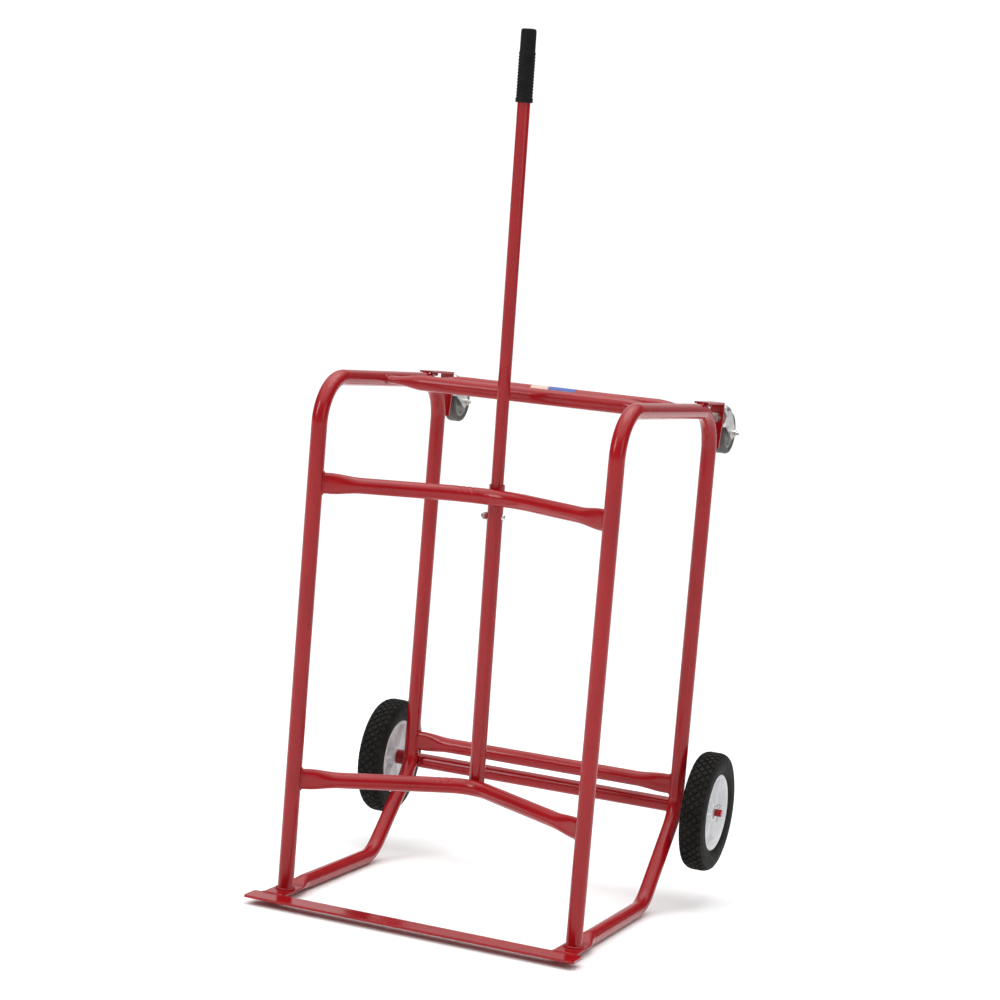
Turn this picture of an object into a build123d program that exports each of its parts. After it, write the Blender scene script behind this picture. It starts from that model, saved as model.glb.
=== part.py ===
from build123d import *
import os
from math import sin, cos, tan, radians, degrees, atan2, hypot, pi

os.makedirs("parts", exist_ok=True)

# ---------------------------------------------------------------- dimensions
# millimetres, +X to the right, +Y to the rear, +Z up, floor at z = 0
TUBE_OD = 32.0            # main frame tube
TUBE_WALL = 1.8
R_O = TUBE_OD / 2
R_I = R_O - TUBE_WALL
HALF_W = 311.0            # side frame centre planes are 622 apart (drum is 585 wide)
RAIL_Z = R_O              # base rails rest on the floor
LEAN = 3.05               # uprights rake forward, degrees
BEND_R = 90.0             # centreline radius of the side frame bends

# side frame corner points (y, z) before the origin shift
FRONT_BOTTOM = (0.0, RAIL_Z)
LOW_CORNER = (414.0, RAIL_Z)
KNEE = (584.2, 190.6)
REAR_TOP = (537.0, 1053.7)
FRONT_TOP = (-55.3, 1053.7)

# flattened front end of each base rail and the toe bar butted against it
FLAT_W, FLAT_T = 49.0, 4.4
FLAT_START = 86.0         # round tube ends here
FLAT_END = 28.0           # fully flat from here forward
TOE_LEN, TOE_W, TOE_T = 700.0, 50.0, 5.0
TOE_REAR = -57.0
TOE_FRONT = TOE_REAR - TOE_W

# bowed front crossbars: bow is measured to the sharp apex of the two legs
UP_Z, UP_BOW, UP_R, UP_RISE = 844.6, 190.0, 180.0, 4.0
LO_Z, LO_BOW, LO_R, LO_RISE = 245.2, 194.0, 82.0, 8.0
OVAL_TALL, OVAL_THICK = 42.0, 17.0     # pressed ends of every crossbar
OVAL_TAPER, OVAL_STRAIGHT = 62.0, 30.0

# straight crossbars (y, z)
TOP_FRONT_BAR = (232.0, 1053.7)
TOP_REAR_BAR = (449.0, 1053.7)
REAR_BAR_Z = 249.6

# axle and main wheels
AXLE_Y, AXLE_Z = 611.51, 199.48      # against the outside of the knee bends
AXLE_TUBE_HALF = 354.2
STUB_D, STUB_END = 16.0, 407.0
PIN_X = 398.6
WHEEL_X = 374.0
WHEEL_R, WHEEL_W, RIM_R = 127.0, 54.0, 82.0
HUB_HALF, HUB_R = 17.0, 21.0
RUN_FIT = 0.08            # radial clearance of a turning bore

# handle post and telescoping handle
POST_LEAN = 5.03
POST_Y, POST_ZREF = 199.0, 256.0       # post axis passes through (y, z)
POST_BOTTOM, POST_TOP = 238.0, 872.0
POST_BORE = 28.0
HANDLE_D, HANDLE_BORE = 25.4, 22.4
HANDLE_BOTTOM, HANDLE_TOP = 576.0, 1763.0
GRIP_BOTTOM, GRIP_TOP = 1625.0, 1767.0
CLAMP_Z = 807.0

# swivel casters on the back of the frame, in the raked frame of the uprights
CAST_PLATE_Y = 629.0      # rear face of the bracket plate
CAST_STEM_Z = 994.0
CAST_AXLE_Y, CAST_AXLE_Z = 692.0, 957.5
CAST_R, CAST_W = 45.0, 28.0
PLATE_T = 4.0
STEM_D, BOLT_D = 12.0, 8.0

# origin: middle of the plan, on the floor
Y0 = -(TOE_FRONT + AXLE_Y + WHEEL_R) / 2
SHIFT = Pos(0, Y0, 0)
RAKED = Pos(0, Y0, RAIL_Z) * Rot(X=LEAN)                  # y across, z along the uprights
POST = Pos(0, POST_Y + Y0, POST_ZREF) * Rot(X=POST_LEAN)  # z along the handle post


def save(shape, name):
    solids = shape.solids()
    out = solids[0] if len(solids) == 1 else Compound(children=list(solids))
    out.label = name
    export_step(out, os.path.join("parts", name + ".step"))
    print(name, len(solids), round(sum(s.volume for s in solids)), "mm3")


def cyl(radius, length):
    """Solid cylinder on Z from 0 to length."""
    return Pos(0, 0, length / 2) * Cylinder(radius, length)


def cyl_x(radius, x0, x1, y=0.0, z=0.0):
    return Pos((x0 + x1) / 2, y, z) * Rot(Y=90) * Cylinder(radius, abs(x1 - x0))


def cyl_y(radius, y0, y1, x=0.0, z=0.0):
    return Pos(x, (y0 + y1) / 2, z) * Rot(X=90) * Cylinder(radius, abs(y1 - y0))


def box(x0, x1, y0, y1, z0, z1):
    return Pos((x0 + x1) / 2, (y0 + y1) / 2, (z0 + z1) / 2) * Box(x1 - x0, y1 - y0, z1 - z0)


def rod_along(points, radius, bend):
    path = FilletPolyline(*points, radius=bend)
    return sweep(Plane(origin=path @ 0, z_dir=path % 0) * Circle(radius), path=path)


def one(shape):
    """Largest solid of a result."""
    return max(shape.solids(), key=lambda s: s.volume)


# ---------------------------------------------------------------- side frames
def upright_point(z, front=True):
    """Centre of an upright at height z."""
    (y1, z1), (y2, z2) = (FRONT_BOTTOM, FRONT_TOP) if front else (KNEE, REAR_TOP)
    return y1 + (y2 - y1) * (z - z1) / (z2 - z1)


def side_frame(x):
    pts = [(x, FLAT_START, RAIL_Z), (x, *LOW_CORNER), (x, *KNEE), (x, *REAR_TOP),
           (x, *FRONT_TOP), (x, upright_point(4.0), 4.0)]
    below = box(x - 40, x + 40, -70, 60, -60, RAIL_Z + FLAT_T / 2 + 0.3)
    outer = rod_along(pts, R_O, BEND_R) - below
    inner = rod_along(pts, R_I, BEND_R)
    # round end pressed down to a flat tongue
    plane = lambda y: Plane(origin=(x, y, RAIL_Z), x_dir=(1, 0, 0), z_dir=(0, -1, 0))
    mid = (FLAT_START + FLAT_END) / 2
    press = loft([plane(FLAT_START) * Circle(R_O),
                  plane(mid) * Ellipse(21.3, 8.6),
                  plane(FLAT_END) * Ellipse(FLAT_W / 2, FLAT_T / 2 + 0.1)])
    bore = loft([plane(FLAT_START) * Circle(R_I),
                 plane(mid) * Ellipse(19.2, 6.4)])
    tongue = extrude(plane(FLAT_END + 2) * SlotOverall(FLAT_W, FLAT_T), FLAT_END + 2 - TOE_REAR)
    return SHIFT * one((outer + press + tongue) - inner - bore)


frame_left = side_frame(-HALF_W)
frame_right = side_frame(HALF_W)
save(frame_left, "side_frame_left")
save(frame_right, "side_frame_right")

# ---------------------------------------------------------------- toe bar
toe = box(-TOE_LEN / 2, TOE_LEN / 2, TOE_FRONT, TOE_REAR, RAIL_Z - TOE_T / 2, RAIL_Z + TOE_T / 2)
toe = fillet(toe.edges().filter_by(Axis.Z), 4.0)
save(SHIFT * toe, "toe_bar")


# ---------------------------------------------------------------- crossbars
def pressed_end(centre, out_dir, tall_dir, radius, tall, thick):
    """Taper from the round tube to the pressed oval, then on to the centre of
    the tube that the bar is welded to."""
    c, d = Vector(*centre), Vector(*out_dir).normalized()
    t = Vector(*tall_dir).normalized()
    at = lambda s: Plane(origin=tuple(c - d * s), x_dir=tuple(t), z_dir=tuple(d))
    length = OVAL_TAPER + OVAL_STRAIGHT
    body = loft([at(length) * Circle(radius),
                 at(OVAL_STRAIGHT + OVAL_TAPER * 0.45) * Ellipse(radius + (tall - radius) * 0.62, radius + (thick - radius) * 0.62),
                 at(OVAL_STRAIGHT) * Ellipse(tall, thick)])
    return body + extrude(at(OVAL_STRAIGHT) * Ellipse(tall, thick), OVAL_STRAIGHT)


def crossbar(points, bend, tall_dir, cutters):
    ends = []
    for a, b in ((points[0], points[1]), (points[-1], points[-2])):
        d = (Vector(*a) - Vector(*b)).normalized()
        # keep the tall direction square to the leg
        t = Vector(*tall_dir)
        t = (t - d * t.dot(d)).normalized()
        ends.append((a, d, t))
    short = OVAL_TAPER + OVAL_STRAIGHT
    inner_pts = [tuple(Vector(*ends[0][0]) - ends[0][1] * short)] + [tuple(p) for p in points[1:-1]] + \
                [tuple(Vector(*ends[1][0]) - ends[1][1] * short)]

    def core(radius, tall, thick):
        if len(inner_pts) == 2:
            a, b = Vector(*inner_pts[0]), Vector(*inner_pts[1])
            body = extrude(Plane(origin=tuple(a), z_dir=tuple(b - a)) * Circle(radius), (b - a).length)
        else:
            body = rod_along(inner_pts, radius, bend)
        for p, d, t in ends:
            body = body + pressed_end(p, tuple(d), tuple(t), radius, tall, thick)
        return body

    bar = core(R_O, OVAL_TALL / 2, OVAL_THICK / 2) - core(R_I, OVAL_TALL / 2 - TUBE_WALL, OVAL_THICK / 2 - TUBE_WALL)
    for c in cutters:
        bar = bar - c
    return one(bar)


def upright_cutter(x, z, front=True):
    y = upright_point(z, front)
    return Pos(x, y, z) * Rot(X=LEAN) * Cylinder(R_O + 0.03, 140)


def bowed(z, bow, bend, rise):
    y = upright_point(z)
    pts = [(-HALF_W, y, z), (0, y + bow, z + rise), (HALF_W, y, z)]
    return SHIFT * crossbar(pts, bend, (0, 0, 1), [upright_cutter(sx * HALF_W, z) for sx in (-1, 1)])


upper_bar = bowed(UP_Z, UP_BOW, UP_R, UP_RISE)
lower_bar = bowed(LO_Z, LO_BOW, LO_R, LO_RISE)
save(upper_bar, "upper_front_crossbar")
save(lower_bar, "lower_front_crossbar")

for name, (y, z) in (("top_front_crossbar", TOP_FRONT_BAR), ("top_rear_crossbar", TOP_REAR_BAR)):
    cut = [cyl_y(R_O + 0.03, y - 80, y + 80, sx * HALF_W, z) for sx in (-1, 1)]
    save(SHIFT * crossbar([(-HALF_W, y, z), (HALF_W, y, z)], 0, (0, 1, 0), cut), name)

rear_y = upright_point(REAR_BAR_Z, front=False)
save(SHIFT * crossbar([(-HALF_W, rear_y, REAR_BAR_Z), (HALF_W, rear_y, REAR_BAR_Z)], 0, (0, -sin(radians(LEAN)), cos(radians(LEAN))),
                      [upright_cutter(sx * HALF_W, REAR_BAR_Z, False) for sx in (-1, 1)]), "rear_crossbar")

# ---------------------------------------------------------------- axle
axle_tube = cyl_x(R_O, -AXLE_TUBE_HALF, AXLE_TUBE_HALF, AXLE_Y, AXLE_Z) - \
            cyl_x(14.0, -AXLE_TUBE_HALF - 1, AXLE_TUBE_HALF + 1, AXLE_Y, AXLE_Z)
save(SHIFT * axle_tube, "axle_tube")


def stub(s):
    """Turned stub: plug welded into the tube end, then the wheel spigot."""
    plug = cyl_x(13.98, s * (AXLE_TUBE_HALF - 40), s * AXLE_TUBE_HALF, AXLE_Y, AXLE_Z)
    spigot = cyl_x(STUB_D / 2, s * (AXLE_TUBE_HALF - 1), s * STUB_END, AXLE_Y, AXLE_Z)
    spigot = chamfer(spigot.edges().filter_by(GeomType.CIRCLE).sort_by(Axis.X)[-1 if s > 0 else 0], 1.2)
    hole = Pos(s * PIN_X, AXLE_Y, AXLE_Z) * Cylinder(2.1, 30)
    return SHIFT * (plug + spigot - hole)


def washers(s):
    out = []
    for x0, x1, r in ((AXLE_TUBE_HALF + 0.02, AXLE_TUBE_HALF + 2.5, 17.0), (WHEEL_X + HUB_HALF + 0.3, WHEEL_X + HUB_HALF + 2.3, 15.0)):
        out.append(SHIFT * (cyl_x(r, s * x0, s * x1, AXLE_Y, AXLE_Z) - cyl_x(STUB_D / 2 + 0.25, s * (x0 - 1), s * (x1 + 1), AXLE_Y, AXLE_Z)))
    return out


def split_pin(s):
    """Split pin: round shank through the stub, eye above, legs spread below."""
    x = s * PIN_X
    shank = Pos(x, AXLE_Y, AXLE_Z) * Cylinder(1.9, 22)
    eye = Pos(x, AXLE_Y, AXLE_Z + 14.0) * Rot(X=90) * (Cylinder(5.0, 2.6) - Cylinder(2.3, 4))
    legs = Part()
    for k in (-1, 1):
        legs += Pos(x, AXLE_Y + k * 3.2, AXLE_Z - 13.8) * Rot(X=k * 38) * Cylinder(1.2, 9.5)
    return SHIFT * one(shank + eye + legs)


def wheel_blank(profile_pts):
    """Revolve (radius, width) points about the X axis."""
    face = make_face(Polyline(*[(w, r) for r, w in profile_pts], close=True))
    return revolve(face, Axis.X)


tyre0 = wheel_blank([(RIM_R, -21), (88, -24.5), (98, -WHEEL_W / 2), (112, -WHEEL_W / 2), (121.5, -22.0),
                     (125.8, -14.0), (WHEEL_R, -6.0), (WHEEL_R, 6.0), (125.8, 14.0), (121.5, 22.0),
                     (112, WHEEL_W / 2), (98, WHEEL_W / 2), (88, 24.5), (RIM_R, 21)])
rim0 = wheel_blank([(75.5, -21), (RIM_R, -21), (RIM_R, 21), (75.5, 21), (74.5, 3.5), (HUB_R, 3.5), (HUB_R, HUB_HALF),
                    (STUB_D / 2 + RUN_FIT, HUB_HALF), (STUB_D / 2 + RUN_FIT, -HUB_HALF), (HUB_R, -HUB_HALF),
                    (HUB_R, -3.5), (74.5, -3.5)])
for k in range(6):
    rib = box(-15, 15, 0, 57.5, -2.2, 2.2)
    rim0 = rim0 + Rot(X=60 * k) * Pos(0, HUB_R - 1.5, 0) * rib

for side, s in (("left", -1), ("right", 1)):
    place = Pos(s * WHEEL_X, AXLE_Y + Y0, AXLE_Z)
    save(place * tyre0, "wheel_tyre_" + side)
    save(place * rim0, "wheel_rim_" + side)
    save(stub(s), "axle_stub_" + side)
    ws = washers(s)
    save(Compound(children=ws), "axle_washers_" + side)
    save(split_pin(s), "split_pin_" + side)

# ---------------------------------------------------------------- handle post and handle
zl = lambda z: (z - POST_ZREF) / cos(radians(POST_LEAN))   # height -> distance along the post
post = Pos(0, 0, zl(POST_BOTTOM)) * cyl(R_O, zl(POST_TOP) - zl(POST_BOTTOM))
post -= Pos(0, 0, zl(POST_BOTTOM) - 1) * cyl(POST_BORE / 2, zl(POST_TOP) - zl(POST_BOTTOM) + 2)
post -= cyl_x(BOLT_D / 2, -20, 20, 0, zl(CLAMP_Z))
post = POST * post
post = post - upper_bar - lower_bar
save(one(post), "handle_post")

hexagon = lambda af, length: extrude(RegularPolygon(af / 2, 6, major_radius=False), length)
x_out = Rot(Y=-90)
# clamp screw on the left: weld nut, threaded shank, hexagon head with a domed end
nut = Pos(-15.6, 0, zl(CLAMP_Z)) * x_out * hexagon(13.0, 5.4) - cyl_x(BOLT_D / 2, -30, 0, 0, zl(CLAMP_Z))
nut = nut - Pos(0, 0, zl(POST_BOTTOM)) * cyl(R_O + 0.02, 900)
save(one(POST * nut), "clamp_nut")
screw = cyl_x(BOLT_D / 2, -23, -13.0, 0, zl(CLAMP_Z)) + Pos(-21.02, 0, zl(CLAMP_Z)) * x_out * hexagon(13.0, 4.0)
dome = Pos(-25.02, 0, zl(CLAMP_Z)) * x_out * loft([Circle(5.6), Pos(0, 0, 3) * Circle(4.4), Pos(0, 0, 5) * Circle(1.8)])
save(one(POST * (screw + dome)), "clamp_screw")
# pan head screw on the right
pan = cyl_x(BOLT_D / 2, 13.0, 17.5, 0, zl(CLAMP_Z)) + Pos(16.02, 0, zl(CLAMP_Z)) * Rot(Y=90) * \
      loft([Circle(6.4), Pos(0, 0, 2.6) * Circle(6.0), Pos(0, 0, 4.4) * Circle(4.2), Pos(0, 0, 5.2) * Circle(1.8)])
save(one(POST * pan), "guide_screw")

handle = Pos(0, 0, zl(HANDLE_BOTTOM)) * cyl(HANDLE_D / 2, zl(HANDLE_TOP) - zl(HANDLE_BOTTOM))
handle -= Pos(0, 0, zl(HANDLE_BOTTOM) - 1) * cyl(HANDLE_BORE / 2, zl(HANDLE_TOP) - zl(HANDLE_BOTTOM) + 2)
save(POST * handle, "handle_tube")

gb, gt = zl(GRIP_BOTTOM), zl(GRIP_TOP)
grip_face = make_face(Polyline((HANDLE_D / 2, gb), (17.2, gb), (17.2, gb + 9), (16.5, gb + 10), (16.5, gt - 46),
                               (15.25, gt - 44), (15.25, gt - 4), (12.5, gt), (0, gt), (0, zl(HANDLE_TOP)),
                               (HANDLE_D / 2, zl(HANDLE_TOP)), close=True))
grip = revolve(Plane.XZ * grip_face, Axis.Z)
save(POST * grip, "handle_grip")

# ---------------------------------------------------------------- caster brackets and casters
plate_dir = Rot(X=LEAN)


def bracket(s):
    x = s * HALF_W
    top_z = RAIL_Z + (FRONT_TOP[1] - RAIL_Z) + R_O + 0.05     # top face of the top rail
    rake = radians(LEAN)
    y_rear = CAST_PLATE_Y * cos(rake) - (top_z - RAIL_Z) / cos(rake) * sin(rake)
    arm = box(x - 15, x + 15, 453.0, y_rear, top_z, top_z + PLATE_T)
    face = make_face(Polyline((x - 15, 1045), (x + 15, 1045), (x + 15, 985), (x + 11, 928), (x - 11, 928), (x - 15, 985), close=True))
    plate = Pos(0, CAST_PLATE_Y, 0) * extrude(Plane.XZ * face, PLATE_T)
    plate = plate - cyl_y(STEM_D / 2 + 0.02, CAST_PLATE_Y - 20, CAST_PLATE_Y + 20, x, CAST_STEM_Z)
    plate = RAKED * plate
    body = SHIFT * arm + plate
    body = body - SHIFT * box(x - 30, x + 30, 380, 720, top_z + PLATE_T, top_z + 60)
    body = body - RAKED * box(x - 30, x + 30, CAST_PLATE_Y, CAST_PLATE_Y + 60, 900, 1100)
    return one(body)


def stem(s):
    x = s * HALF_W
    return RAKED * (cyl_y(STEM_D / 2, CAST_PLATE_Y - 19, CAST_PLATE_Y + 15, x, CAST_STEM_Z) +
                    cyl_y(11.0, CAST_PLATE_Y + 10.6, CAST_PLATE_Y + 15, x, CAST_STEM_Z))


def stem_nut(s):
    x = s * HALF_W
    nut = Pos(x, CAST_PLATE_Y - PLATE_T, CAST_STEM_Z) * Rot(X=90) * Rot(Z=0) * hexagon(19.0, 10.0)
    return RAKED * (nut - cyl_y(STEM_D / 2 + 0.02, CAST_PLATE_Y - 30, CAST_PLATE_Y, x, CAST_STEM_Z))


def raceway(s):
    x = s * HALF_W
    ring = cyl_y(21.0, CAST_PLATE_Y, CAST_PLATE_Y + 2.6, x, CAST_STEM_Z) + cyl_y(17.0, CAST_PLATE_Y, CAST_PLATE_Y + 6.0, x, CAST_STEM_Z)
    return RAKED * (ring - cyl_y(STEM_D / 2 + 0.02, CAST_PLATE_Y - 5, CAST_PLATE_Y + 10, x, CAST_STEM_Z))


def fork(s):
    x = s * HALF_W
    y1 = CAST_PLATE_Y + 6.4
    crown = cyl_y(25.0, y1, y1 + 3.6, x, CAST_STEM_Z)
    legs = Part()
    for k in (-1, 1):
        pts = [(y1, CAST_STEM_Z + 22), (y1 + 12, CAST_STEM_Z + 26), (y1 + 26, CAST_STEM_Z + 22), (y1 + 42, CAST_STEM_Z + 6),
               (CAST_AXLE_Y + 13, CAST_AXLE_Z + 12), (CAST_AXLE_Y + 13, CAST_AXLE_Z - 6), (CAST_AXLE_Y + 4, CAST_AXLE_Z - 13),
               (CAST_AXLE_Y - 8, CAST_AXLE_Z - 11), (y1 + 20, CAST_STEM_Z - 28), (y1, CAST_STEM_Z - 22)]
        face = make_face(Plane.YZ * Polyline(*pts, close=True))
        leg = Pos(x + k * 18.75 - 1.25, 0, 0) * extrude(face, 2.5, dir=(1, 0, 0))
        legs += leg
    # pressed shoulder joining crown and legs
    body = crown + legs
    body = body - cyl_y(STEM_D / 2 + RUN_FIT, y1 - 5, y1 + 6, x, CAST_STEM_Z)
    body = body - cyl_x(BOLT_D / 2 + 0.02, x - 40, x + 40, CAST_AXLE_Y, CAST_AXLE_Z)
    return RAKED * one(body)


def caster_core(s):
    x = s * HALF_W
    face = make_face(Polyline((-16.5, BOLT_D / 2 + RUN_FIT), (-16.5, 10), (-6, 11.5), (-6, 25), (-11, 27), (-11, 34),
                              (11, 34), (11, 27), (6, 25), (6, 11.5), (16.5, 10), (16.5, BOLT_D / 2 + RUN_FIT), close=True))
    return RAKED * Pos(x, CAST_AXLE_Y, CAST_AXLE_Z) * revolve(face, Axis.X)


def caster_tread(s):
    x = s * HALF_W
    w = CAST_W / 2
    face = make_face(Polyline((-w + 2, 34), (-w, 36), (-w, 40), (-w + 1.6, 43.2), (-w + 4.5, CAST_R), (w - 4.5, CAST_R),
                              (w - 1.6, 43.2), (w, 40), (w, 36), (w - 2, 34), close=True))
    return RAKED * Pos(x, CAST_AXLE_Y, CAST_AXLE_Z) * revolve(face, Axis.X)


def caster_bolt(s):
    x = s * HALF_W
    shank = cyl_x(BOLT_D / 2, x - 21, x + 33, CAST_AXLE_Y, CAST_AXLE_Z)
    head = Pos(x - 20.02, CAST_AXLE_Y, CAST_AXLE_Z) * Rot(Y=-90) * hexagon(13.0, 5.3)
    return RAKED * (shank + head)


def caster_nut(s):
    x = s * HALF_W
    nut = Pos(x + 20.02, CAST_AXLE_Y, CAST_AXLE_Z) * Rot(Y=90) * hexagon(13.0, 7.5)
    return RAKED * (nut - cyl_x(BOLT_D / 2 + 0.02, x, x + 50, CAST_AXLE_Y, CAST_AXLE_Z))


for side, s in (("left", -1), ("right", 1)):
    save(bracket(s), "caster_bracket_" + side)
    save(stem(s), "caster_stem_" + side)
    save(stem_nut(s), "caster_stem_nut_" + side)
    save(raceway(s), "caster_raceway_" + side)
    save(fork(s), "caster_fork_" + side)
    save(caster_core(s), "caster_wheel_core_" + side)
    save(caster_tread(s), "caster_tread_" + side)
    save(caster_bolt(s), "caster_axle_bolt_" + side)
    save(caster_nut(s), "caster_axle_nut_" + side)

# joint and mount positions, for reference
def raked_point(y, z):
    a = radians(LEAN)
    return (y * cos(a) - z * sin(a) + Y0, y * sin(a) + z * cos(a) + RAIL_Z)


print("Y0", Y0)
print("axle", AXLE_Y + Y0, AXLE_Z)
print("caster stem", raked_point(CAST_PLATE_Y, CAST_STEM_Z), "caster axle", raked_point(CAST_AXLE_Y, CAST_AXLE_Z))
print("swivel axis", (0, cos(radians(LEAN)), sin(radians(LEAN))))
print("post axis", (0, -sin(radians(POST_LEAN)), cos(radians(POST_LEAN))), "through", POST_Y + Y0, POST_ZREF)
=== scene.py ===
from math import sin, cos, tan, acos, radians, pi

import bpy
import bmesh
import numpy as np
from mathutils import Matrix, Vector


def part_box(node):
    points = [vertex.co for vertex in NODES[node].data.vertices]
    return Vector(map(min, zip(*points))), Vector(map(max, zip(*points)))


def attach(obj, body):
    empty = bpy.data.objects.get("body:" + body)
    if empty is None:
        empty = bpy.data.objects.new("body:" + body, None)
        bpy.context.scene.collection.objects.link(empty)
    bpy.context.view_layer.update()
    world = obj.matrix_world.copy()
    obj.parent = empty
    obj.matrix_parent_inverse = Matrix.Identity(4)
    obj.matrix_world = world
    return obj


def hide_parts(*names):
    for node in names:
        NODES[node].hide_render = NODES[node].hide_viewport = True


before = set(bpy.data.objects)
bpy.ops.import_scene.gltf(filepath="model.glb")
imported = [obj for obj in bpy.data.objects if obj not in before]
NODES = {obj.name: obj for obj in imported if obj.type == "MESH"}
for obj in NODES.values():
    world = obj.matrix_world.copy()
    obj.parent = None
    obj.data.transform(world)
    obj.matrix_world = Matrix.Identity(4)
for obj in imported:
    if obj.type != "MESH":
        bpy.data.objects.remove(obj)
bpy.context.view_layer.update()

# ------------------------------------------------------------------ dimensions, mm
# y is measured from the foot of the front uprights; Y0 moves it into the shared frame
Y0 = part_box("toe_bar")[0].y * 1000 + 107.0
R_O = 16.0
HALF_W, RAIL_Z, LEAN, BEND_R = 311.0, 16.0, 3.05, 90.0
FRONT_BOTTOM, LOW_CORNER, KNEE = (0.0, 16.0), (414.0, 16.0), (584.2, 190.6)
REAR_TOP, FRONT_TOP = (537.0, 1053.7), (-55.3, 1053.7)
FLAT_W, FLAT_T, FLAT_START, FLAT_END, TOE_REAR = 49.0, 4.4, 86.0, 28.0, -57.0
_lo, _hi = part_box("axle_tube")
AXLE_Y, AXLE_Z, WHEEL_X = (_lo.y + _hi.y) * 500 - Y0, (_lo.z + _hi.z) * 500, 374.0
POST_LEAN, POST_Y, POST_ZREF = 5.03, 199.0, 256.0


# ------------------------------------------------------------------ materials
def new_material(name):
    m = bpy.data.materials.new(name)
    m.use_nodes = True
    nt = m.node_tree
    bsdf = nt.nodes["Principled BSDF"]
    return m, nt, bsdf


def noise(nt, coord, scale, detail=4.0, rough=0.55):
    n = nt.nodes.new("ShaderNodeTexNoise")
    n.inputs["Scale"].default_value = scale
    n.inputs["Detail"].default_value = detail
    n.inputs["Roughness"].default_value = rough
    nt.links.new(coord, n.inputs["Vector"])
    return n.outputs["Fac"]


def ramp(nt, fac, stops):
    r = nt.nodes.new("ShaderNodeValToRGB")
    e = r.color_ramp.elements
    while len(e) < len(stops):
        e.new(0.5)
    for k, (pos, col) in enumerate(stops):
        e[k].position = pos
        e[k].color = (*col, 1.0) if len(col) == 3 else col
    nt.links.new(fac, r.inputs["Fac"])
    return r.outputs["Color"]


def span(nt, fac, a, b, lo, hi):
    m = nt.nodes.new("ShaderNodeMapRange")
    for k, v in (("From Min", a), ("From Max", b), ("To Min", lo), ("To Max", hi)):
        m.inputs[k].default_value = v
    nt.links.new(fac, m.inputs["Value"])
    return m.outputs["Result"]


def mix(nt, fac, a, b):
    m = nt.nodes.new("ShaderNodeMix")
    m.data_type = "RGBA"
    nt.links.new(fac, m.inputs[0])
    for sock, v in ((m.inputs[6], a), (m.inputs[7], b)):
        if isinstance(v, tuple):
            sock.default_value = (*v, 1.0)
        else:
            nt.links.new(v, sock)
    return m.outputs[2]


def stretched(nt, coord, scale, rot=(0, 0, 0)):
    m = nt.nodes.new("ShaderNodeMapping")
    m.inputs["Scale"].default_value = scale
    m.inputs["Rotation"].default_value = rot
    nt.links.new(coord, m.inputs["Vector"])
    return m.outputs["Vector"]


def bumped(nt, bsdf, heights):
    """heights: list of (fac, strength, distance in metres)."""
    last = None
    for fac, strength, dist in heights:
        b = nt.nodes.new("ShaderNodeBump")
        b.inputs["Strength"].default_value = strength
        b.inputs["Distance"].default_value = dist
        nt.links.new(fac, b.inputs["Height"])
        if last is not None:
            nt.links.new(last, b.inputs["Normal"])
        last = b.outputs["Normal"]
    nt.links.new(last, bsdf.inputs["Normal"])


def enamel():
    m, nt, p = new_material("red_enamel")
    co = nt.nodes.new("ShaderNodeTexCoord").outputs["Object"]
    tone = ramp(nt, noise(nt, co, 7.0, 5), [(0.28, (0.255, 0.0040, 0.0070)), (0.72, (0.325, 0.0060, 0.0095))])
    # fine scuffs that catch the light, and sparse darker rub marks
    scuff = ramp(nt, noise(nt, stretched(nt, co, (300, 300, 22), (0.2, 0.1, 0.0)), 1.0, 3, 0.6),
                 [(0.665, (0, 0, 0)), (0.71, (1, 1, 1))])
    patch = ramp(nt, noise(nt, co, 16.0, 3), [(0.52, (0, 0, 0)), (0.66, (1, 1, 1))])
    both = nt.nodes.new("ShaderNodeMath")
    both.operation = "MULTIPLY"
    nt.links.new(scuff, both.inputs[0])
    nt.links.new(patch, both.inputs[1])
    colour = mix(nt, both.outputs[0], tone, (0.38, 0.030, 0.034))
    speck = ramp(nt, noise(nt, co, 210.0, 2), [(0.755, (0, 0, 0)), (0.78, (1, 1, 1))])
    nt.links.new(mix(nt, speck, colour, (0.14, 0.008, 0.010)), p.inputs["Base Color"])
    rough = nt.nodes.new("ShaderNodeMath")
    rough.operation = "MULTIPLY_ADD"
    rough.inputs[1].default_value = 0.22
    nt.links.new(both.outputs[0], rough.inputs[0])
    nt.links.new(span(nt, noise(nt, co, 22.0, 4), 0.3, 0.7, 0.15, 0.24), rough.inputs[2])
    nt.links.new(rough.outputs[0], p.inputs["Roughness"])
    p.inputs["Specular IOR Level"].default_value = 0.28
    p.inputs["Coat Weight"].default_value = 0.14
    p.inputs["Coat Roughness"].default_value = 0.10
    bumped(nt, p, [(noise(nt, co, 330.0, 2), 0.08, 0.0004), (noise(nt, co, 55.0, 2), 0.12, 0.001)])
    return m


def zinc(name="zinc_plated", dark=1.0):
    m, nt, p = new_material(name)
    co = nt.nodes.new("ShaderNodeTexCoord").outputs["Object"]
    tone = ramp(nt, noise(nt, co, 90.0, 5), [(0.3, (0.46 * dark, 0.46 * dark, 0.44 * dark)),
                                            (0.55, (0.66 * dark, 0.66 * dark, 0.65 * dark)),
                                            (0.75, (0.60 * dark, 0.57 * dark, 0.50 * dark))])
    nt.links.new(tone, p.inputs["Base Color"])
    p.inputs["Metallic"].default_value = 1.0
    nt.links.new(span(nt, noise(nt, co, 160.0, 4), 0.3, 0.7, 0.24, 0.46), p.inputs["Roughness"])
    bumped(nt, p, [(noise(nt, co, 700.0, 3), 0.18, 0.0002), (noise(nt, stretched(nt, co, (90, 90, 900)), 1.0, 2), 0.08, 0.0002)])
    return m


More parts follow.
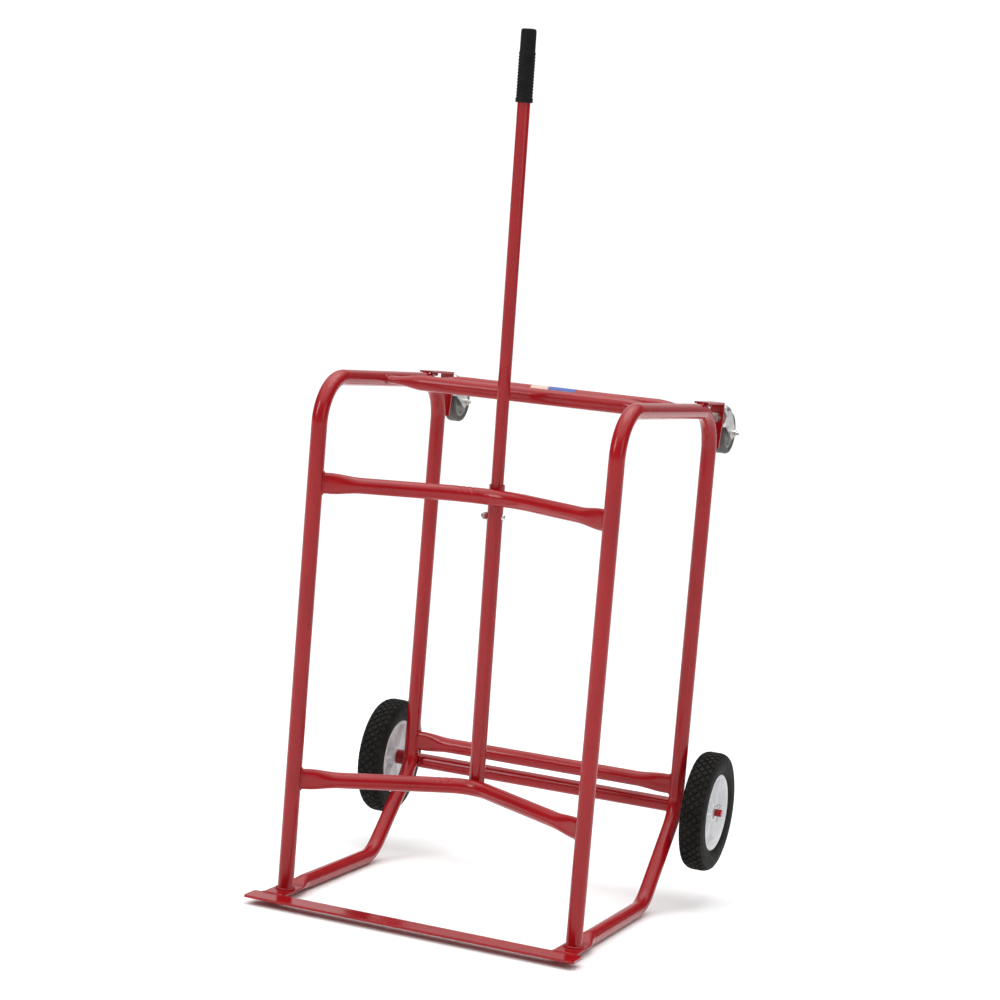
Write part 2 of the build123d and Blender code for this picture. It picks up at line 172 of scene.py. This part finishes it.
def rubber(name, dark, light, rough, dust=None):
    m, nt, p = new_material(name)
    co = nt.nodes.new("ShaderNodeTexCoord").outputs["Object"]
    tone = ramp(nt, noise(nt, co, 38.0, 6, 0.62), [(0.3, dark), (0.72, light)])
    if dust:
        mask = ramp(nt, noise(nt, co, 120.0, 5, 0.7), [(0.58, (0, 0, 0)), (0.78, (0.6, 0.6, 0.6))])
        tone = mix(nt, mask, tone, dust)
    nt.links.new(tone, p.inputs["Base Color"])
    p.inputs["Specular IOR Level"].default_value = 0.14
    nt.links.new(span(nt, noise(nt, co, 80.0, 4), 0.3, 0.7, rough[0], rough[1]), p.inputs["Roughness"])
    bumped(nt, p, [(noise(nt, co, 900.0, 3), 0.30, 0.0003), (noise(nt, co, 140.0, 3), 0.12, 0.0006)])
    return m


def plastic(name, a, b, rough):
    m, nt, p = new_material(name)
    co = nt.nodes.new("ShaderNodeTexCoord").outputs["Object"]
    tone = ramp(nt, noise(nt, co, 24.0, 5), [(0.3, a), (0.7, b)])
    grime = ramp(nt, noise(nt, co, 75.0, 5, 0.7), [(0.66, (0, 0, 0)), (0.84, (0.35, 0.35, 0.35))])
    nt.links.new(mix(nt, grime, tone, tuple(v * 0.62 for v in a)), p.inputs["Base Color"])
    nt.links.new(span(nt, noise(nt, co, 60.0, 3), 0.3, 0.7, rough[0], rough[1]), p.inputs["Roughness"])
    bumped(nt, p, [(noise(nt, co, 420.0, 3), 0.14, 0.0003)])
    return m


MAT = {
    "red_enamel": enamel(),
    "zinc_plated": zinc(),
    "black_tyre": rubber("black_tyre", (0.0060, 0.0056, 0.0050), (0.0150, 0.0142, 0.0125), (0.60, 0.78), (0.030, 0.028, 0.024)),
    "white_rim": plastic("white_rim", (0.66, 0.67, 0.69), (0.75, 0.75, 0.76), (0.38, 0.52)),
    "black_grip": rubber("black_grip", (0.0030, 0.0030, 0.0032), (0.0070, 0.0070, 0.0074), (0.56, 0.72)),
    "grey_rubber": rubber("grey_rubber", (0.070, 0.068, 0.064), (0.105, 0.102, 0.096), (0.42, 0.60), (0.14, 0.135, 0.12)),
    "grey_core": plastic("grey_core", (0.17, 0.17, 0.165), (0.24, 0.24, 0.23), (0.36, 0.50)),
}
DARK_ZINC = zinc("dark_zinc", 0.42)


def slot_of(node):
    if node.startswith("wheel_tyre"):
        return "black_tyre"
    if node.startswith("wheel_rim"):
        return "white_rim"
    if node == "handle_grip":
        return "black_grip"
    if node.startswith("caster_tread"):
        return "grey_rubber"
    if node.startswith("caster_wheel_core"):
        return "grey_core"
    if node.startswith(("caster_stem", "caster_raceway", "caster_fork", "caster_axle", "axle_washers", "split_pin",
                        "clamp_screw", "guide_screw")):
        return "zinc_plated"
    return "red_enamel"


for name, o in NODES.items():
    o.data.materials.clear()
    o.data.materials.append(DARK_ZINC if name == "clamp_screw" else MAT[slot_of(name)])


# ------------------------------------------------------------------ mesh helpers
def unit(v):
    v = np.asarray(v, float)
    return v / np.linalg.norm(v)


def add(name, V, F, body, slot, rep=(), sharp=38.0, material=None):
    V = np.array(V, float).reshape(-1, 3)
    V[:, 1] += Y0
    V *= 0.001
    me = bpy.data.meshes.new(name)
    me.from_pydata([tuple(v) for v in V], [], F)
    bm = bmesh.new()
    bm.from_mesh(me)
    bmesh.ops.remove_doubles(bm, verts=bm.verts, dist=2e-7)
    bmesh.ops.recalc_face_normals(bm, faces=bm.faces)
    bm.to_mesh(me)
    bm.free()
    me.materials.append(material or MAT[slot])
    me.shade_smooth()
    me.set_sharp_from_angle(angle=radians(sharp))
    o = bpy.data.objects.new(name, me)
    bpy.context.scene.collection.objects.link(o)
    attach(o, body)
    if rep:
        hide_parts(*rep)
    return o


def ring_faces(n, m, closed=False, off=0):
    i = np.arange(n if closed else n - 1)[:, None]
    j = np.arange(m)[None, :]
    k = (i + 1) % n
    f = np.stack([i * m + j, i * m + (j + 1) % m, k * m + (j + 1) % m, k * m + j], -1)
    return (f.reshape(-1, 4) + off).tolist()


def skin(rings, cap0=None, cap1=None):
    """Closed solid through rings (n, m, 3); caps are fans to their middle."""
    rings = np.asarray(rings, float)
    n, m, _ = rings.shape
    V = rings.reshape(-1, 3).tolist()
    F = ring_faces(n, m)
    for first, c in ((0, cap0), ((n - 1) * m, cap1)):
        c = rings[0 if first == 0 else -1].mean(0) if c is None else c
        V.append(list(c))
        F += [[first + j, first + (j + 1) % m, len(V) - 1] for j in range(m)]
    return V, F


def section(a, b, k, m=64):
    """Half widths a, b; k blends an ellipse into a flat-sided pressed section."""
    t = np.arange(m) * 2 * pi / m
    ex, ey = a * np.cos(t), b * np.sin(t)
    if k <= 0:
        return ex, ey
    q = np.arccos(np.clip(np.abs(np.cos(t)), 0, 1))
    t0 = radians(60)
    arc = q < t0
    ph = np.where(arc, q / t0 * pi / 2, pi / 2)
    sx = np.where(arc, (a - b) + b * np.cos(ph), (a - b) * (1 - (q - t0) / (pi / 2 - t0)))
    sy = b * np.sin(ph)
    sx, sy = sx * np.sign(np.cos(t)), sy * np.sign(np.sin(t))
    return ex + (sx - ex) * k, ey + (sy - ey) * k


def smooth(x):
    x = min(max(x, 0.0), 1.0)
    return x * x * (3 - 2 * x)


def ring(c, t, ref, a, b, k=0.0, m=64):
    t = unit(t)
    u = np.asarray(ref, float)
    u = unit(u - t * (u @ t))
    v = np.cross(t, u)
    x, y = section(a, b, k, m)
    return np.asarray(c, float) + x[:, None] * u + y[:, None] * v


def fillet(points, radius, step=3.0, fill=34.0):
    """(centre, tangent, how far into a bend 0..1) along a path with arcs at its corners."""
    P = [np.array(p, float) for p in points]
    out, prev = [], P[0]

    def line(a, b, last=False):
        d = b - a
        n = max(1, int(np.linalg.norm(d) / fill))
        for i in range(n + (1 if last else 0)):
            out.append((a + d * i / n, unit(d), 0.0))

    for i in range(1, len(P) - 1):
        d1, d2 = unit(P[i] - P[i - 1]), unit(P[i + 1] - P[i])
        ang = acos(float(np.clip(d1 @ d2, -1, 1)))
        L = radius * tan(ang / 2)
        s = P[i] - d1 * L
        line(prev, s)
        nrm = unit(d2 - d1 * (d1 @ d2))
        o = s + nrm * radius
        steps = max(2, int(round(ang * 180 / pi / step)))
        for k in range(steps):
            th = ang * k / steps
            out.append((o - nrm * radius * cos(th) + d1 * radius * sin(th), d1 * cos(th) + nrm * sin(th),
                        sin(pi * k / steps)))
        prev = P[i] + d2 * L
    line(prev, P[-1], True)
    return out


def resample(pts, gap, closed):
    P = np.asarray(pts, float)
    if closed:
        P = np.vstack([P, P[:1]])
    s = np.concatenate([[0], np.cumsum(np.linalg.norm(np.diff(P, axis=0), axis=1))])
    n = max(8, int(s[-1] / gap))
    q = np.linspace(0, s[-1], n, endpoint=not closed)
    return np.stack([np.interp(q, s, P[:, k]) for k in range(3)], 1), q, s[-1]


def bead(name, pts, r=2.1, closed=True, seed=0, body="frame", away=None):
    """Weld bead: overlapping ripples along a line, a little uneven."""
    rng = np.random.default_rng(seed)
    P, q, total = resample(pts, 0.62, closed)
    n = len(P)
    count = max(3, round(total / 2.7))
    ph = q / total * count
    wob = sum(rng.uniform(0.03, 0.07) * np.sin(2 * pi * (q / total * k + rng.random())) for k in (2, 3, 5, 8))
    size = r * (0.90 + 0.17 * np.abs(np.sin(pi * ph)) ** 0.7 + wob)
    if not closed:
        size *= np.clip(np.minimum(q, total - q) / 3.0, 0.12, 1) ** 0.5
    T = (np.roll(P, -1, 0) - np.roll(P, 1, 0)) if closed else np.gradient(P, axis=0)
    mid = P.mean(0) if away is None else np.asarray(away, float)
    rings = []
    for i in range(n):
        ref = P[i] - mid if away is None else mid
        rings.append(ring(P[i], T[i], ref, size[i], size[i] * 0.92, 0, 10))
    rings = np.array(rings)
    if closed:
        V, F = rings.reshape(-1, 3).tolist(), ring_faces(n, 10, True)
    else:
        V, F = skin(rings)
    return add(name, V, F, body, "red_enamel", sharp=70)


def revolve(name, profile, origin, axis, ref, body, slot, m=96, rep=(), sharp=32.0):
    """Closed outline of (radius, along), turned about an axis."""
    axis = unit(axis)
    u = unit(np.asarray(ref, float) - axis * (np.asarray(ref, float) @ axis))
    v = np.cross(axis, u)
    t = np.arange(m) * 2 * pi / m
    rings = [np.asarray(origin) + axis * h + r * (np.cos(t)[:, None] * u + np.sin(t)[:, None] * v) for r, h in profile]
    V = np.array(rings).reshape(-1, 3).tolist()
    return add(name, V, ring_faces(len(profile), m, True), body, slot, rep, sharp)


# ------------------------------------------------------------------ side frames
UP_DIR = unit((0, FRONT_TOP[0] - FRONT_BOTTOM[0], FRONT_TOP[1] - FRONT_BOTTOM[1]))


def upright(z, front=True):
    (y1, z1), (y2, z2) = (FRONT_BOTTOM, FRONT_TOP) if front else (KNEE, REAR_TOP)
    return y1 + (y2 - y1) * (z - z1) / (z2 - z1)


X_AXIS = (1.0, 0.0, 0.0)
for side, s in (("left", -1), ("right", 1)):
    x = s * HALF_W
    rings = []
    for y in (TOE_REAR, -50, -30, -10, 10, 22, FLAT_END):
        rings.append(ring((x, y, RAIL_Z), (0, 1, 0), X_AXIS, FLAT_W / 2, FLAT_T / 2, 1.0))
    for i in range(1, 19):
        f = i / 18
        w = 1 - smooth(f)
        y = FLAT_END + (FLAT_START - FLAT_END) * f
        rings.append(ring((x, y, RAIL_Z), (0, 1, 0), X_AXIS, R_O + (FLAT_W / 2 - R_O) * w,
                          R_O + (FLAT_T / 2 - R_O) * w, w))
    path = fillet([(x, FLAT_START, RAIL_Z), (x, *LOW_CORNER), (x, *KNEE), (x, *REAR_TOP), (x, *FRONT_TOP),
                   (x, upright(20.0), 20.0)], BEND_R)
    for c, t, bend in path[1:]:
        rings.append(ring(c, t, X_AXIS, R_O * (1 + 0.012 * bend), R_O * (1 - 0.030 * bend)))
    # square the foot off on the pressed tongue
    foot = rings[-1]
    foot = foot + UP_DIR * ((RAIL_Z + FLAT_T / 2 - 0.2 - foot[:, 2]) / UP_DIR[2])[:, None]
    rings[-1] = foot
    V, F = skin(rings)
    add("side_frame_tube_" + side, V, F, "frame", "red_enamel", ("side_frame_" + side,))
    bead("weld_foot_" + side, foot + (foot - foot.mean(0)) * 0.045 + (0, 0, 1.1), 3.2, seed=11 + s)
    # tongue to toe bar, along the top
    bead("weld_toe_" + side, [(x - 23.5, TOE_REAR + 0.6, 17.9), (x - 8, TOE_REAR + 0.1, 18.0), (x + 7, TOE_REAR + 0.8, 18.0), (x + 23.5, TOE_REAR + 0.3, 17.9)], 2.6, False, 21 + s, away=(0, 0, 1))


# ------------------------------------------------------------------ crossbars
def crossbar(name, points, radius, ref, cyl_axis, seed, wrinkles=()):
    ref = np.asarray(ref, float)
    P = [np.array(p, float) for p in points]
    short = 92.0
    d0, d1 = unit(P[1] - P[0]), unit(P[-1] - P[-2])
    inner = [P[0] + d0 * short] + P[1:-1] + [P[-1] - d1 * short]
    ends = []
    for c, d in ((P[0], d0), (P[-1], -d1)):
        rs = []
        for s in (9.0, 22.0, 30.0):
            rs.append(ring(c + d * s, d0 if d is d0 else d1, ref, 21.0, 8.5, 0.55))
        for i in range(1, 17):
            w = 1 - smooth(i / 16)
            rs.append(ring(c + d * (30 + 62 * i / 16), d0 if d is d0 else d1, ref, R_O + 5.0 * w, R_O - 7.5 * w, 0.55 * w))
        rs[0] = cope(rs[1], c, d, cyl_axis)
        ends.append(rs)
    rings = list(ends[0])
    fine = fillet(inner, radius, 0.4, 2.0 if wrinkles else 34.0) if len(inner) > 2 else \
        [(inner[0] + (inner[1] - inner[0]) * k / 14, d0, 0.0) for k in range(15)]
    for c, t, bend in fine[1:-1]:
        rg = ring(c, t, ref, R_O * (1 + 0.010 * bend), R_O * (1 - 0.020 * bend))
        for wx, depth in wrinkles:
            g = np.exp(-((c[0] - wx) / 2.4) ** 2)
            if g > 0.01:
                nrm = (rg - c) / R_O
                face = np.clip(-nrm[:, 1] * 0.50 + nrm[:, 2] * 0.866, 0, 1) ** 4
                rg = rg - nrm * (depth * g * face)[:, None]
        rings.append(rg)
    rings += ends[1][::-1]
    V, F = skin(rings)
    add(name + "_tube", V, F, "frame", "red_enamel", (name,))
    for k, rs in enumerate(ends):
        out = rs[0] + (rs[1] - rs[0]) * 0.05
        mid = out.mean(0)
        bead("weld_%s_%d" % (name, k), mid + (out - mid) * 1.035, 2.2, seed=seed + k)


def cope(rg, c, d, axis):
    """End ring of a bar, cut to the surface of the tube it meets."""
    axis = unit(axis)
    out = []
    for p in rg:
        w = p - c
        w = w - axis * (w @ axis)
        e = d - axis * (d @ axis)
        A, B, C = e @ e, 2 * (w @ e), w @ w - (R_O - 0.15) ** 2
        t = (-B + max(B * B - 4 * A * C, 0.0) ** 0.5) / (2 * A)
        out.append(p + d * t)
    return np.array(out)


for name, z, bow, rad, rise, seed, wr in (("upper_front_crossbar", 844.6, 190.0, 180.0, 4.0, 31, (-62, -50, -38)),
                                          ("lower_front_crossbar", 245.2, 194.0, 82.0, 8.0, 41, (-66, -54, -42))):
    y = upright(z)
    crossbar(name, [(-HALF_W, y, z), (0, y + bow, z + rise), (HALF_W, y, z)], rad, (0, 0, 1), UP_DIR, seed,
             [(w, 1.8) for w in wr])
for name, y, seed in (("top_front_crossbar", 232.0, 51), ("top_rear_crossbar", 449.0, 61)):
    crossbar(name, [(-HALF_W, y, 1053.7), (HALF_W, y, 1053.7)], 0, (0, 1, 0), (0, 1, 0), seed)
y = upright(249.6, False)
REAR_DIR = unit((0, REAR_TOP[0] - KNEE[0], REAR_TOP[1] - KNEE[1]))
crossbar("rear_crossbar", [(-HALF_W, y, 249.6), (HALF_W, y, 249.6)], 0, (0, -sin(radians(LEAN)), cos(radians(LEAN))), REAR_DIR, 71)

# axle tube to the knee bends: a short run of weld above and below on both sides
for s in (-1, 1):
    for k, dx in ((0, -15), (1, 15)):
        xx = s * HALF_W + dx
        bead("weld_axle_%s_%d" % ("left" if s < 0 else "right", k),
             [(xx, AXLE_Y - 13.0, AXLE_Z + 12.5), (xx, AXLE_Y - 16.3, AXLE_Z + 6), (xx, AXLE_Y - 16.8, AXLE_Z),
              (xx, AXLE_Y - 16.3, AXLE_Z - 6), (xx, AXLE_Y - 13.0, AXLE_Z - 12.5)], 2.0, False, 81 + s + k, away=(1, 0, 0))

# ------------------------------------------------------------------ wheels
def tyre(side, s):
    R = 127.0
    pitch = 2 * pi * R / 44
    prof = [(82.0, -21.0), (84.5, -22.8), (88.0, -24.5), (91.0, -25.6), (94.5, -26.5), (98.0, -27.0), (102.0, -27.0),
            (106.0, -27.0), (109.0, -26.9), (112.0, -26.6), (115.0, -25.7), (117.5, -24.7)]
    w0 = np.linspace(-23.5, 23.5, 58)
    tread = [(R - 5.5 * max(0.0, (abs(w) - 9.0) / 14.5) ** 2.2, w) for w in w0]
    prof = prof + tread + [(r, -w) for r, w in prof[::-1]]
    n = 704
    th = np.arange(n) * 2 * pi / n
    rr = np.array([p[0] for p in prof])
    ww = np.array([p[1] for p in prof])
    a = (th[:, None] * R + ww[None, :] * 0.95) / pitch
    b = (th[:, None] * R - ww[None, :] * 0.95) / pitch
    near = lambda q: np.abs(q - np.round(q)) * pitch * 0.72
    depth = lambda d: np.clip((2.15 - d) / 1.0, 0, 1)
    cut = np.maximum(depth(near(a)), depth(near(b)))
    band = np.clip((23.8 - np.abs(ww)) / 2.0, 0, 1) * (rr > 118)
    rad = rr[None, :] - 3.2 * cut * band[None, :]
    V = np.stack([np.broadcast_to(ww, rad.shape), AXLE_Y + rad * np.cos(th)[:, None], AXLE_Z + rad * np.sin(th)[:, None]], -1)
    V = V.copy()
    V[..., 0] += s * WHEEL_X
    m = len(prof)
    add("wheel_tread_" + side, V.reshape(-1, 3), ring_faces(n, m, False) + [[(n - 1) * m + j, (n - 1) * m + (j + 1) % m, (j + 1) % m, j] for j in range(m)],
        "wheel_" + side, "black_tyre", ("wheel_tyre_" + side,), 30)


def rim(side, s):
    """Moulded rim: hub, web with six ribs, deep lip; the same on both faces."""
    rs = np.unique(np.concatenate([np.linspace(8.1, 19.5, 6), np.linspace(19.5, 24.5, 12), np.linspace(24.5, 70, 30),
                                   np.linspace(70, 77.5, 20), np.linspace(77.5, 81.9, 9)]))
    n = 540
    th = np.arange(n) * 2 * pi / n
    r, t = np.meshgrid(rs, th)
    sm = lambda e0, e1, q: np.clip((q - e0) / (e1 - e0), 0, 1) ** 2 * (3 - 2 * np.clip((q - e0) / (e1 - e0), 0, 1))
    web = 3.5 + 0 * r
    ph = np.abs((t / (pi / 3) + 0.5) % 1.0 - 0.5) * (pi / 3) * r
    rib = 3.5 + 10.5 * (1 - sm(1.4, 4.6, ph)) * (1 - 0.30 * sm(30, 74, r))
    hub = 3.5 + 13.5 * (1 - sm(20.0, 22.4, r))
    lip = 3.5 + 17.5 * sm(72.5, 76.0, r)
    groove = -1.6 * np.exp(-((r - 78.6) / 0.7) ** 2)
    h = np.maximum.reduce([web, rib, hub, lip + groove])
    h = h - 1.2 * sm(80.2, 81.9, r)
    front = np.stack([h, AXLE_Y + r * np.cos(t), AXLE_Z + r * np.sin(t)], -1)
    back = front.copy()
    back[..., 0] *= -1
    loop = np.concatenate([front, back[:, ::-1]], 1)
    loop[..., 0] += s * WHEEL_X
    m = loop.shape[1]
    add("wheel_disc_" + side, loop.reshape(-1, 3), ring_faces(n, m, True), "wheel_" + side, "white_rim", ("wheel_rim_" + side,), 34)


for side, s in (("left", -1), ("right", 1)):
    tyre(side, s)
    rim(side, s)

# ------------------------------------------------------------------ grip
lean = radians(POST_LEAN)
POST_O = (0.0, POST_Y, POST_ZREF)
POST_AX = (0.0, -sin(lean), cos(lean))
zl = lambda z: (z - POST_ZREF) / cos(lean)
gb, gt = zl(1625.0), zl(1767.0)
outline = [(12.75, gb + 1.0), (13.6, gb), (16.2, gb), (17.0, gb + 0.8), (17.2, gb + 2.2), (17.2, gb + 7.6), (16.9, gb + 8.8), (16.2, gb + 9.6)]
body_h = np.linspace(gb + 10.2, gt - 47.0, 150)
for h in body_h:
    k = (h - gb - 10.2) / 6.2
    dip = 0.75 * np.clip((0.30 - abs(k - round(k))) / 0.16, 0, 1)
    outline.append((16.5 - float(dip), float(h)))
outline += [(16.4, gt - 46.0), (15.6, gt - 45.0), (15.25, gt - 44.2), (15.25, gt - 22.0), (15.2, gt - 6.0), (14.7, gt - 3.0), (13.4, gt - 1.1),
            (10.5, gt - 0.35), (6.0, gt - 0.1), (0.02, gt), (0.02, zl(1763.0)), (12.75, zl(1763.0))]
revolve("grip_sleeve", outline, POST_O, POST_AX, (1, 0, 0), "handle", "black_grip", 96, ("handle_grip",), 40)

# ------------------------------------------------------------------ pressed caster forks
RAKE = radians(LEAN)
CAST_Y1, STEM_Z, CAX_Y, CAX_Z = 635.4, 994.0, 692.0, 957.5


def raked(p):
    """Points given along the uprights' frame (x, y across, z up the upright)."""
    p = np.asarray(p, float)
    y, z = p[..., 1], p[..., 2]
    return np.stack([p[..., 0], y * cos(RAKE) - z * sin(RAKE), y * sin(RAKE) + z * cos(RAKE) + 16.0], -1)


def fork(side, s):
    x0 = s * HALF_W
    edge_z = np.array([CAX_Z - 13, CAX_Z - 10, CAX_Z - 4, CAX_Z + 6, CAX_Z + 14, STEM_Z - 12, STEM_Z - 2, STEM_Z + 8,
                       STEM_Z + 15, STEM_Z + 21, STEM_Z + 25, STEM_Z + 27])
    rear = np.array([CAX_Y + 2, CAX_Y + 9, CAX_Y + 13, CAX_Y + 13.5, CAX_Y + 11, CAX_Y + 2, CAX_Y - 7, CAX_Y - 17,
                     CAX_Y - 26, CAX_Y - 35, CAX_Y - 43, CAX_Y - 50])
    front_z = np.array([CAX_Z - 13, CAX_Z - 11, CAX_Z - 4, CAX_Z + 4, STEM_Z - 25, STEM_Z - 21, STEM_Z + 27])
    front = np.array([CAX_Y - 2, CAX_Y - 8, CAX_Y - 18, CAX_Y - 31, CAST_Y1 + 12, CAST_Y1 + 1.5, CAST_Y1 + 1.5])
    V, F = [], []
    zs = np.concatenate([np.linspace(CAX_Z - 13, STEM_Z - 22, 30), np.linspace(STEM_Z - 22, STEM_Z + 26.6, 44)[1:]])
    m = 46
    thick = 2.4
    sheets = []
    for off in (0.0, thick):
        rows = []
        for z in zs:
            yr = float(np.interp(z, edge_z, rear))
            yf = float(np.interp(z, front_z, front))
            dome = max(0.0, (z - (STEM_Z + 12)) / 15.5)
            half = 20.0 * max(1 - dome ** 2.4, 0.05) ** 0.5 - off
            rc = min(9.0, half * 0.8)
            base = CAST_Y1 + 0.1 + off
            join = 1.0 if z > STEM_Z - 22 else 0.0
            row = []
            for k in range(m):
                q = k / (m - 1) * 2 - 1
                a = abs(q)
                sg = -1 if q < 0 else 1
                if join:
                    if a < 0.28:
                        px, py = half - rc, base
                        px = px * a / 0.28
                    elif a < 0.56:
                        th = (a - 0.28) / 0.28 * pi / 2
                        px, py = half - rc + rc * sin(th), base + rc - rc * cos(th)
                    else:
                        f = (a - 0.56) / 0.44
                        px, py = half, base + rc + max(yr - base - rc, 0.2) * f
                else:
                    f = a
                    px, py = half, yf + (yr - yf) * f
                row.append((x0 + sg * px, py, z))
            rows.append(row)
        sheets.append(np.array(rows))
    n = len(zs)
    split = 29
    for off, sh in enumerate(sheets):
        V += sh.reshape(-1, 3).tolist()
    nm = n * m
    keep = set()
    for i in range(n - 1):
        for j in range(m - 1):
            lower = i < split
            if lower and j == (m - 1) // 2:
                continue
            keep.add((i, j))
    for i, j in sorted(keep):
        a, b, c, d = i * m + j, i * m + j + 1, (i + 1) * m + j + 1, (i + 1) * m + j
        F.append([a, b, c, d])
        F.append([nm + d, nm + c, nm + b, nm + a])
        for (p, q), nb in (((a, b), (i - 1, j)), ((b, c), (i, j + 1)), ((c, d), (i + 1, j)), ((d, a), (i, j - 1))):
            if nb not in keep:
                F.append([p, nm + p, nm + q, q])
    P = raked(np.array(V))
    add("fork_pressing_" + side, P, F, "caster_" + side, "zinc_plated", ("caster_fork_" + side,), 34)


for side, s in (("left", -1), ("right", 1)):
    fork(side, s)

# weld fillets where the caster brackets sit on the top rails
for side, s in (("left", -1), ("right", 1)):
    x = s * HALF_W
    for k, dx in ((0, -9.5), (1, 9.5)):
        bead("weld_bracket_%s_%d" % (side, k), [(x + dx, 456, 1067.6), (x + dx, 474, 1067.4), (x + dx * 0.98, 492, 1065.4)], 2.6, False, 91 + s + k, away=(0, 0, 1))
    bead("weld_bracket_end_" + side, [(x - 9, 498.0, 1066.6), (x, 499.5, 1067.8), (x + 9, 498.0, 1066.6)], 3.4, False, 97 + s, away=(0, 0, 1))

# ------------------------------------------------------------------ plain coloured strip on the rear top bar
def strip(name, x0, x1, a0, a1, rgb):
    m, nt, p = new_material(name)
    co = nt.nodes.new("ShaderNodeTexCoord").outputs["Object"]
    nt.links.new(ramp(nt, noise(nt, co, 60.0, 4), [(0.3, tuple(v * 0.88 for v in rgb)), (0.7, rgb)]), p.inputs["Base Color"])
    nt.links.new(span(nt, noise(nt, co, 140.0, 3), 0.3, 0.7, 0.28, 0.42), p.inputs["Roughness"])
    xs = np.linspace(x0, x1, 12)
    an = np.radians(np.linspace(a0, a1, 20))
    rings = []
    for x in xs:
        o = np.array([[x, 449.0 - (R_O + 0.30) * cos(q), 1053.7 + (R_O + 0.30) * sin(q)] for q in an])
        i = np.array([[x, 449.0 - (R_O + 0.02) * cos(q), 1053.7 + (R_O + 0.02) * sin(q)] for q in an[::-1]])
        rings.append(np.vstack([o, i]))
    V, F = skin(rings)
    add(name, V, F, "frame", None, (), 30, m)


strip("strip_band", -22, 38, 30, 118, (0.030, 0.075, 0.33))
strip("strip_patch", -62, -23, 30, 118, (0.62, 0.44, 0.36))

# ------------------------------------------------------------------ floor, light, camera
def simple(name, a, b, rough):
    m, nt, p = new_material(name)
    co = nt.nodes.new("ShaderNodeTexCoord").outputs["Object"]
    nt.links.new(ramp(nt, noise(nt, co, 1.4, 3), [(0.3, a), (0.7, b)]), p.inputs["Base Color"])
    nt.links.new(span(nt, noise(nt, co, 5.0, 3), 0.3, 0.7, rough, rough + 0.08), p.inputs["Roughness"])
    return m


bm = bmesh.new()
bmesh.ops.create_circle(bm, cap_ends=True, cap_tris=False, segments=128, radius=60.0)
me = bpy.data.meshes.new("floor")
bm.to_mesh(me)
bm.free()
floor = bpy.data.objects.new("floor", me)
me.materials.append(simple("pale_floor", (0.93, 0.93, 0.93), (0.95, 0.95, 0.95), 0.90))
bpy.context.scene.collection.objects.link(floor)
floor.location.z = -0.0005

world = bpy.data.worlds.new("studio")
bpy.context.scene.world = world
world.use_nodes = True
wt = world.node_tree
sky = wt.nodes.new("ShaderNodeTexCoord").outputs["Generated"]
sep = wt.nodes.new("ShaderNodeSeparateXYZ")
wt.links.new(sky, sep.inputs[0])
# a broad light overhead and a lit backdrop behind the object, in a dimmer room
dot = wt.nodes.new("ShaderNodeVectorMath")
dot.operation = "DOT_PRODUCT"
dot.inputs[1].default_value = (-0.36, 0.93, 0.03)
wt.links.new(sky, dot.inputs[0])
over = ramp(wt, sep.outputs["Z"], [(0.50, (0.075, 0.075, 0.075)), (0.80, (1.0, 1.0, 1.0))])
drop = ramp(wt, dot.outputs["Value"], [(0.74, (0, 0, 0)), (0.93, (0.34, 0.34, 0.34))])
lit = wt.nodes.new("ShaderNodeMix")
lit.data_type = "RGBA"
lit.blend_type = "LIGHTEN"
lit.inputs[0].default_value = 1.0
wt.links.new(over, lit.inputs[6])
wt.links.new(drop, lit.inputs[7])
# past the edge of the floor the camera sees the same white as the floor
seen = wt.nodes.new("ShaderNodeMix")
seen.data_type = "RGBA"
wt.links.new(wt.nodes.new("ShaderNodeLightPath").outputs["Is Camera Ray"], seen.inputs[0])
wt.links.new(lit.outputs[2], seen.inputs[6])
seen.inputs[7].default_value = (0.55, 0.55, 0.55, 1.0)
wt.links.new(seen.outputs[2], wt.nodes["Background"].inputs["Color"])
wt.nodes["Background"].inputs["Strength"].default_value = 1.95


def softbox(name, at, to, size, watts):
    d = bpy.data.lights.new(name, "AREA")
    d.shape = "RECTANGLE"
    d.size, d.size_y = size
    d.energy = watts
    o = bpy.data.objects.new(name, d)
    o.location = at
    o.rotation_euler = (Vector(to) - Vector(at)).to_track_quat("-Z", "Y").to_euler()
    bpy.context.scene.collection.objects.link(o)


softbox("key", (-2.6, -4.0, 3.2), (0, 0, 0.8), (1.6, 2.2), 74)
softbox("fill", (4.4, -1.8, 2.2), (0, 0, 0.8), (2.2, 2.2), 22)
softbox("overhead", (0.2, 0.2, 4.2), (0, 0, 0.6), (2.4, 2.4), 34)

cam = bpy.data.cameras.new("camera")
cam.sensor_width = 36.0
cam.lens = 87.547
cam.clip_end = 100.0
cam_o = bpy.data.objects.new("camera", cam)
right = Vector((0.924219, 0.368057, 0.101754))
up = Vector((-0.122786, 0.034117, 0.991847))
forward = (Vector((-0.361584, 0.929177, -0.076724)) - right * (1.2597 / 2431.86) + up * (0.2604 / 2431.86)).normalized()
right = (right - forward * right.dot(forward)).normalized()
up = right.cross(forward).normalized()
cam_o.matrix_world = Matrix(((right.x, up.x, -forward.x, 1.76944),
                             (right.y, up.y, -forward.y, -4.68856 + (Y0 + 316.85) / 1000),
                             (right.z, up.z, -forward.z, 1.21521), (0, 0, 0, 1)))
bpy.context.scene.collection.objects.link(cam_o)
bpy.context.scene.camera = cam_o
bpy.context.scene.view_settings.view_transform = "Standard"
